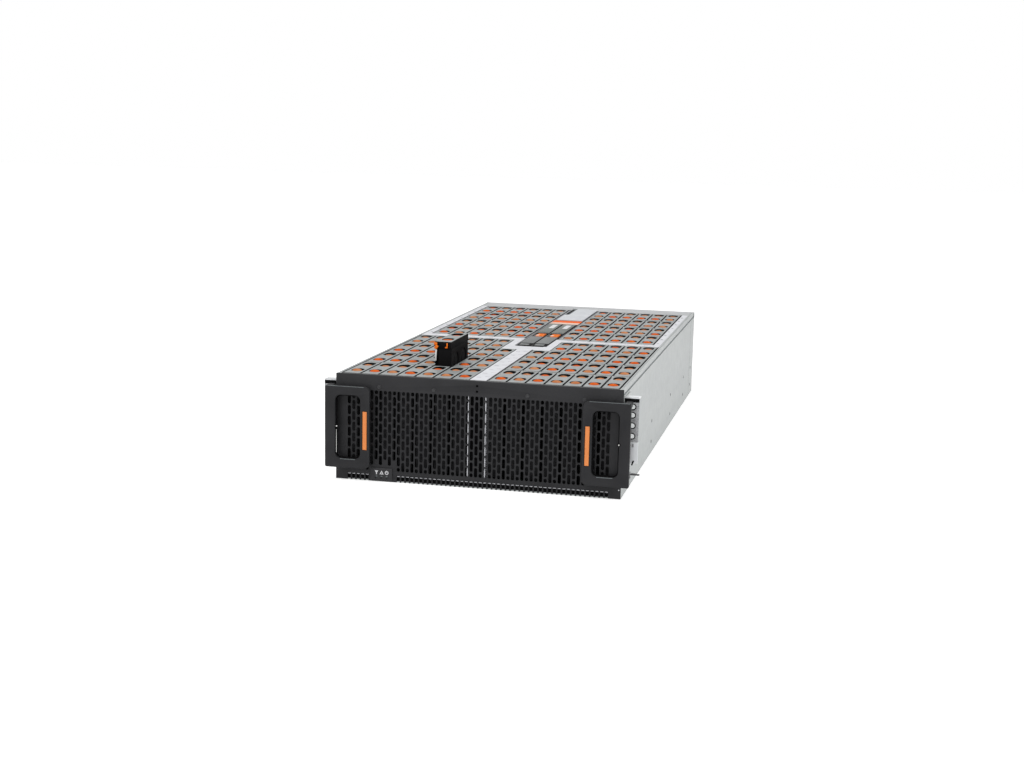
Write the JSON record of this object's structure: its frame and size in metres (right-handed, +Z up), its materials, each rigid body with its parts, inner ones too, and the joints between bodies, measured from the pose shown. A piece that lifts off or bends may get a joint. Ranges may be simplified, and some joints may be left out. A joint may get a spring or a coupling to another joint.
{
  "type": "disk shelf enclosure",
  "caption": "Rack-mount disk shelf, top covers off, with upright drives in rows, a slotted front grille, ear handles, centre modules and rear fan and power modules.",
  "frame": {"origin": "on the underside of the chassis, on its centre plane, level with the back face of the rack flanges", "axes": "+X to the right seen from the front, +Y from front to back, +Z up"},
  "size_m": [0.4936, 1.0485, 0.205],
  "materials": {
    "chassis_sheet": "satin light grey",
    "black_sheet": "satin black powder coat",
    "galvanised": "zinc plated",
    "screw_steel": "bright",
    "black_plastic": "fine texture",
    "light_pipe": "clear",
    "port_metal": "bright",
    "circuit_board": "green solder mask",
    "standoff_brass": "machined",
    "connector_black": "moulded",
    "drive_grey": "moulded grey",
    "disk_black": "cast, black",
    "carrier_black": "moulded black",
    "orange_plastic": "moulded orange",
    "spring_steel": "bright",
    "black_wire": "black",
    "module_grey": "satin grey",
    "orange_strap": "satin orange",
    "supply_metal": "plated"
  },
  "bodies": {
    "chassis": {"chassis_pan": "chassis_sheet", "front_panel": "black_sheet", "panel_screws": "screw_steel", "status_block": "black_plastic", "light_pipes": "light_pipe", "centre_channel": "galvanised", "module_bay": "galvanised", "cross_beams": "galvanised", "side_channels": "galvanised", "rear_deck": "galvanised", "rear_panel": "chassis_sheet", "fan_shelf": "galvanised", "port_shells": "port_metal", "port_board": "circuit_board", "baseboard_front": "circuit_board", "baseboard_rear": "circuit_board", "standoffs": "standoff_brass", "connector_rows": "connector_black", "bay_guides": "galvanised", "drives_front_left": "drive_grey", "drives_front_right": "drive_grey", "drives_rear_left": "drive_grey", "drives_rear_right": "drive_grey", "pull_strap": "orange_strap", "module_cover": "galvanised", "ear_handle_left": "black_plastic", "ear_handle_right": "black_plastic", "rack_bracket_left": "galvanised", "rack_bracket_right": "galvanised", "hook_bracket_left": "galvanised", "hook_bracket_right": "galvanised"},
    "lifted_drive": {"lifted_disk": "disk_black", "lifted_carrier": "carrier_black", "lifted_cap": "drive_grey", "lifted_leaf": "spring_steel"},
    "drive_latch": {"lifted_latch": "orange_plastic"},
    "left_module": {"module_left": "module_grey"},
    "left_lever": {"module_lever_left": "orange_plastic", "module_bail_left": "black_wire"},
    "left_trigger": {"ear_trigger_left": "orange_plastic"},
    "left_hook": {"slam_hook_left": "screw_steel"},
    "left_supply": {"power_supply_left": "supply_metal"},
    "left_catch": {"supply_catch_left": "orange_plastic"},
    "right_module": {"module_right": "module_grey"},
    "right_lever": {"module_lever_right": "orange_plastic", "module_bail_right": "black_wire"},
    "right_trigger": {"ear_trigger_right": "orange_plastic"},
    "right_hook": {"slam_hook_right": "screw_steel"},
    "right_supply": {"power_supply_right": "supply_metal"},
    "right_catch": {"supply_catch_right": "orange_plastic"},
    "fan_1": {"fan_housing_1": "black_plastic"},
    "rotor_1": {"fan_rotor_1": "black_plastic"},
    "fan_2": {"fan_housing_2": "black_plastic"},
    "rotor_2": {"fan_rotor_2": "black_plastic"},
    "fan_3": {"fan_housing_3": "black_plastic"},
    "rotor_3": {"fan_rotor_3": "black_plastic"},
    "fan_4": {"fan_housing_4": "black_plastic"},
    "rotor_4": {"fan_rotor_4": "black_plastic"}
  },
  "joints": [
    {"name": "drive_lift", "type": "slide", "parent": "chassis", "child": "lifted_drive", "axis": [0, 0, 1], "range_m": [-0.039, 0.12]},
    {"name": "drive_latch_turn", "type": "hinge", "parent": "lifted_drive", "child": "drive_latch", "pos_m": [-0.08615, 0.1495, 0.2], "axis": [-1, 0, 0], "range_deg": [0, 3]},
    {"name": "left_module_lift", "type": "slide", "parent": "chassis", "child": "left_module", "axis": [0, 0, 1], "range_m": [0, 0.155]},
    {"name": "left_lever_turn", "type": "hinge", "parent": "left_module", "child": "left_lever", "pos_m": [-0.0135, 0.5371, 0.1618], "axis": [-1, 0, 0], "range_deg": [0, 75]},
    {"name": "left_trigger_pull", "type": "slide", "parent": "chassis", "child": "left_trigger", "axis": [0, 1, 0], "range_m": [0, 0.0035], "stiffness_N_per_m": 800},
    {"name": "left_hook_turn", "type": "hinge", "parent": "chassis", "child": "left_hook", "pos_m": [-0.23, 0.009, 0.0325], "axis": [0, 0, -1], "range_deg": [0, 10.1]},
    {"name": "left_supply_slide", "type": "slide", "parent": "chassis", "child": "left_supply", "axis": [0, 1, 0], "range_m": [0, 0.105]},
    {"name": "left_catch_turn", "type": "hinge", "parent": "left_supply", "child": "left_catch", "pos_m": [-0.201, 1.0072, 0.0288], "axis": [0, 0, -1], "range_deg": [0, 12], "stiffness_Nm_per_rad": 0.05},
    {"name": "right_module_lift", "type": "slide", "parent": "chassis", "child": "right_module", "axis": [0, 0, 1], "range_m": [0, 0.155]},
    {"name": "right_lever_turn", "type": "hinge", "parent": "right_module", "child": "right_lever", "pos_m": [0.0135, 0.5371, 0.1618], "axis": [-1, 0, 0], "range_deg": [0, 75]},
    {"name": "right_trigger_pull", "type": "slide", "parent": "chassis", "child": "right_trigger", "axis": [0, 1, 0], "range_m": [0, 0.0035], "stiffness_N_per_m": 800},
    {"name": "right_hook_turn", "type": "hinge", "parent": "chassis", "child": "right_hook", "pos_m": [0.23, 0.009, 0.0325], "axis": [0, 0, 1], "range_deg": [0, 10.1]},
    {"name": "right_supply_slide", "type": "slide", "parent": "chassis", "child": "right_supply", "axis": [0, 1, 0], "range_m": [0, 0.105]},
    {"name": "right_catch_turn", "type": "hinge", "parent": "right_supply", "child": "right_catch", "pos_m": [0.201, 1.0072, 0.0288], "axis": [0, 0, 1], "range_deg": [0, 12], "stiffness_Nm_per_rad": 0.05},
    {"name": "fan_1_slide", "type": "slide", "parent": "chassis", "child": "fan_1", "axis": [0, 1, 0], "range_m": [0, 0.105]},
    {"name": "rotor_1_spin", "type": "hinge", "parent": "fan_1", "child": "rotor_1", "pos_m": [-0.162, 0.989, 0.109], "axis": [0, 1, 0], "continuous": true},
    {"name": "fan_2_slide", "type": "slide", "parent": "chassis", "child": "fan_2", "axis": [0, 1, 0], "range_m": [0, 0.105]},
    {"name": "rotor_2_spin", "type": "hinge", "parent": "fan_2", "child": "rotor_2", "pos_m": [-0.054, 0.989, 0.109], "axis": [0, 1, 0], "continuous": true},
    {"name": "fan_3_slide", "type": "slide", "parent": "chassis", "child": "fan_3", "axis": [0, 1, 0], "range_m": [0, 0.105]},
    {"name": "rotor_3_spin", "type": "hinge", "parent": "fan_3", "child": "rotor_3", "pos_m": [0.054, 0.989, 0.109], "axis": [0, 1, 0], "continuous": true},
    {"name": "fan_4_slide", "type": "slide", "parent": "chassis", "child": "fan_4", "axis": [0, 1, 0], "range_m": [0, 0.105]},
    {"name": "rotor_4_spin", "type": "hinge", "parent": "fan_4", "child": "rotor_4", "pos_m": [0.162, 0.989, 0.109], "axis": [0, 1, 0], "continuous": true}
  ],
  "couplings": [
    {"joint": "left_hook_turn", "follows": "left_trigger_pull", "rad_per_m": 49.8},
    {"joint": "right_hook_turn", "follows": "right_trigger_pull", "rad_per_m": 49.8}
  ]
}
